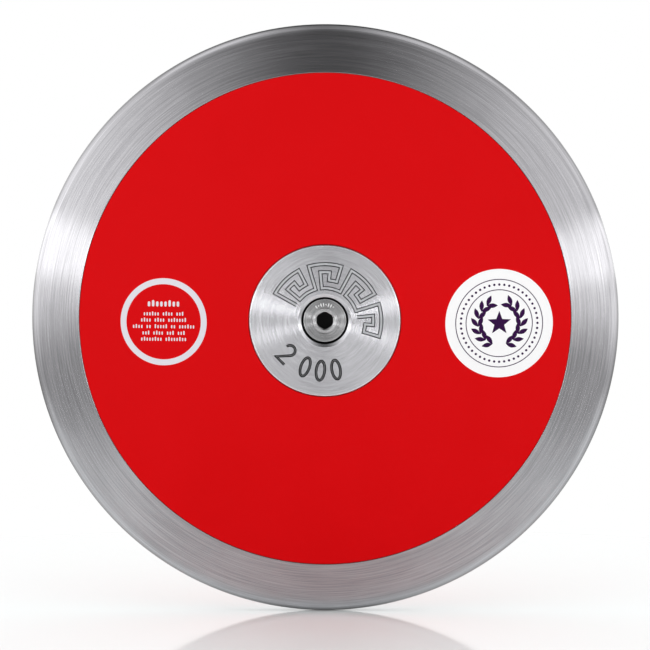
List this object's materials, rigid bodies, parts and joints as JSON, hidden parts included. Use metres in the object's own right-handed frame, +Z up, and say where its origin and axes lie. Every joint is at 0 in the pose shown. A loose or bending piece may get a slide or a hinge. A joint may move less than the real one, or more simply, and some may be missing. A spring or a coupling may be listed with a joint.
{
  "type": "discus",
  "caption": "Throwing discus of the heaviest competition class: brushed metal rim, tapering red side plates and flush round centre plates drawn together by a recessed bolt.",
  "frame": {"origin": "centre of the disc, on its axis and in its middle plane", "axes": "+Y along the disc's axis, from the front face to the rear face; +Z up as the disc stands on its edge; the front face with the printed marks looks along -Y"},
  "size_m": [0.22, 0.045, 0.22],
  "materials": {
    "rim_steel": "turned and brushed round the axis, fine circular grain, satin",
    "red_plate": "moulded, even satin red with a very fine grain",
    "centre_aluminium": "turned face with fine circular grain",
    "bolt_steel": "turned head with visible tool rings",
    "plated_steel": "dull plating, hidden inside",
    "black_rubber": "plain black, hidden inside"
  },
  "bodies": {
    "root": {"rim": "rim_steel", "front_side_plate": "red_plate", "rear_side_plate": "red_plate", "front_centre_plate": "centre_aluminium", "rear_centre_plate": "centre_aluminium", "centre_bolt": "bolt_steel", "sleeve_nut": "bolt_steel", "core_tube": "plated_steel", "front_lock_washer": "plated_steel", "rear_lock_washer": "plated_steel", "front_cushion": "black_rubber", "rear_cushion": "black_rubber", "front_rim_seal": "black_rubber", "rear_rim_seal": "black_rubber", "trim_weight_1": "plated_steel", "trim_weight_2": "plated_steel", "trim_weight_3": "plated_steel", "trim_weight_4": "plated_steel", "trim_weight_5": "plated_steel", "trim_weight_6": "plated_steel"}
  },
  "joints": []
}
